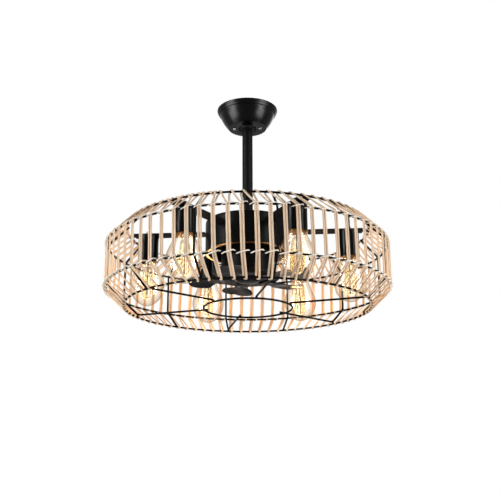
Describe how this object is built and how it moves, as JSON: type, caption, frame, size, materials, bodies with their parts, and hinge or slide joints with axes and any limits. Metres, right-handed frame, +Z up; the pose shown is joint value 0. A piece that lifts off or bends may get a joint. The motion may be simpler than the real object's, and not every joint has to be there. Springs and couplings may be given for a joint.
{
  "type": "caged chandelier ceiling fan",
  "caption": "Low-profile ceiling fan with lamps round a motor drum inside a hemp-wound wire drum cage, small blades in the middle, hung on a downrod from a canopy.",
  "frame": {"origin": "centre of the ceiling bracket's face against the ceiling, on the axis of the downrod and cage", "axes": "+Z up into the ceiling along the downrod; +X towards lamp 1 and along the ceiling bracket"},
  "size_m": [0.5, 0.5, 0.382],
  "materials": {
    "satin_black": "satin",
    "zinc_steel": "zinc plated",
    "black_nylon": "matte",
    "amber_glass": "clear",
    "hemp_cord": "twisted natural fibre"
  },
  "bodies": {
    "ceiling_mount": {"ceiling_bracket": "zinc_steel", "canopy": "satin_black", "canopy_screw_1": "zinc_steel", "canopy_screw_2": "zinc_steel"},
    "fixture": {"downrod": "satin_black", "motor_housing": "satin_black", "lamp_arm_1": "satin_black", "lamp_arm_2": "satin_black", "lamp_arm_3": "satin_black", "lamp_arm_4": "satin_black", "lamp_arm_5": "satin_black", "lamp_arm_6": "satin_black", "lamp_socket_1": "satin_black", "lamp_socket_2": "satin_black", "lamp_socket_3": "satin_black", "lamp_socket_4": "satin_black", "lamp_socket_5": "satin_black", "lamp_socket_6": "satin_black", "cage_ring_top": "satin_black", "cage_ring_upper": "satin_black", "cage_ring_lower": "satin_black", "cage_ring_bottom": "satin_black", "cage_ring_inner": "satin_black", "cage_spoke_rib_1": "satin_black", "cage_spoke_rib_2": "satin_black", "cage_spoke_rib_3": "satin_black", "cage_spoke_rib_4": "satin_black", "cage_spoke_rib_5": "satin_black", "cage_spoke_rib_6": "satin_black", "cage_rib_1": "satin_black", "cage_rib_2": "satin_black", "cage_rib_3": "satin_black", "cage_rib_4": "satin_black", "cage_rib_5": "satin_black", "cage_rib_6": "satin_black", "hanger_pin": "zinc_steel", "rod_coupler": "zinc_steel", "coupler_pin": "zinc_steel", "motor_stator": "zinc_steel", "motor_bearing": "zinc_steel", "shaft_collar": "zinc_steel", "hanger_ball": "black_nylon", "bulb_1": "amber_glass", "bulb_2": "amber_glass", "bulb_3": "amber_glass", "bulb_4": "amber_glass", "bulb_5": "amber_glass", "bulb_6": "amber_glass", "cord_winding_1": "hemp_cord", "cord_winding_2": "hemp_cord", "cord_winding_3": "hemp_cord"},
    "rotor": {"motor_rotor": "satin_black", "blade_hub": "satin_black", "hub_cap": "satin_black", "fan_blade_1": "satin_black", "fan_blade_2": "satin_black", "fan_blade_3": "satin_black", "fan_blade_4": "satin_black", "fan_blade_5": "satin_black"}
  },
  "joints": [
    {"name": "fixture_tilt", "type": "hinge", "parent": "ceiling_mount", "child": "fixture", "pos_m": [0, 0, -0.02249], "axis": [1, 0, 0], "range_deg": [-20, 20]},
    {"name": "rotor_spin", "type": "hinge", "parent": "fixture", "child": "rotor", "pos_m": [0, 0, -0.317], "axis": [0, 0, 1], "continuous": true}
  ]
}
